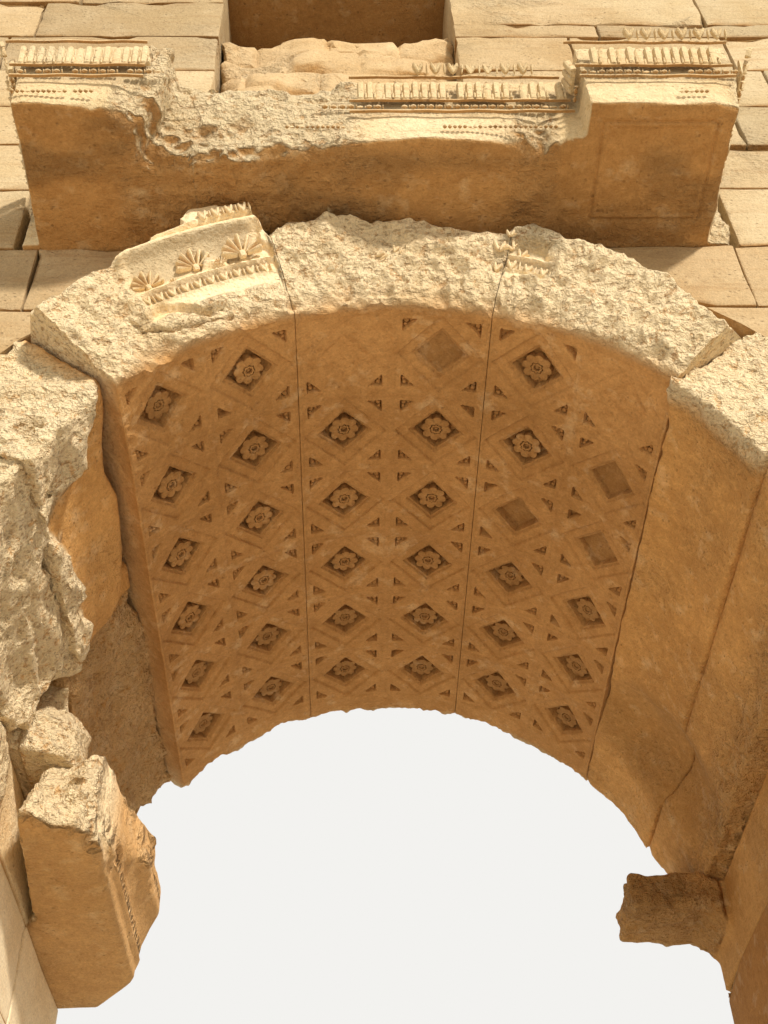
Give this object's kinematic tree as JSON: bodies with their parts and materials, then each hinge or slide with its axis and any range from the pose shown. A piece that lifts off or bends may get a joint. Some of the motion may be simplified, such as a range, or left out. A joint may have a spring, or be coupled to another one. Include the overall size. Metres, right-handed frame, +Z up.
{
  "type": "ruined roman triumphal arch bay",
  "caption": "One archway bay of a ruined stone triumphal arch: piers, coffered barrel vault, broken archivolt, moulded shelf and a niche above",
  "frame": {"origin": "middle of the plan at ground level, on the flat foot of the piers", "axes": "+Z up, +Y through the passage from front to rear, +X to the right seen from the front"},
  "size_m": [7.16, 5.5, 12.21],
  "materials": {
    "carved_soffit": "weathered golden limestone, sheltered and stained ochre",
    "moulded_shelf": "weathered golden limestone with worn mouldings",
    "impost_stone": "weathered golden limestone, broken",
    "pier_stone": "smooth pale limestone",
    "broken_stone": "rough fractured limestone",
    "wall_stone": "eroded cream limestone ashlar with bedding lines"
  },
  "bodies": {
    "root": {"left_base": "pier_stone", "right_base": "pier_stone", "left_pier_lower": "pier_stone", "right_pier_lower": "pier_stone", "left_pier_upper": "pier_stone", "right_pier_upper": "pier_stone", "left_impost": "impost_stone", "right_impost": "impost_stone", "left_springer": "broken_stone", "right_springer": "broken_stone", "left_haunch": "broken_stone", "right_haunch": "broken_stone", "left_coffered_block": "carved_soffit", "keystone_block": "carved_soffit", "right_coffered_block": "carved_soffit", "left_spandrel_lower": "wall_stone", "right_spandrel_lower": "wall_stone", "left_spandrel_upper": "wall_stone", "right_spandrel_upper": "wall_stone", "left_shelf_end": "moulded_shelf", "shelf_centre": "moulded_shelf", "right_shelf_end": "moulded_shelf", "rear_shelf_left": "moulded_shelf", "rear_shelf_centre": "moulded_shelf", "rear_shelf_right": "moulded_shelf", "shelf_course_left": "wall_stone", "shelf_course_right": "wall_stone", "shelf_course_core": "wall_stone", "apron_course_left": "wall_stone", "apron_course_right": "wall_stone", "apron_course_core": "wall_stone", "sill_course_left": "wall_stone", "sill_course_right": "wall_stone", "sill_course_core": "wall_stone", "niche_blocking": "broken_stone", "rear_niche_blocking": "broken_stone", "niche_jamb_left": "wall_stone", "niche_jamb_right": "wall_stone", "niche_back": "wall_stone", "niche_lintel": "wall_stone", "top_course_left": "wall_stone", "top_course_right": "wall_stone"}
  },
  "joints": []
}
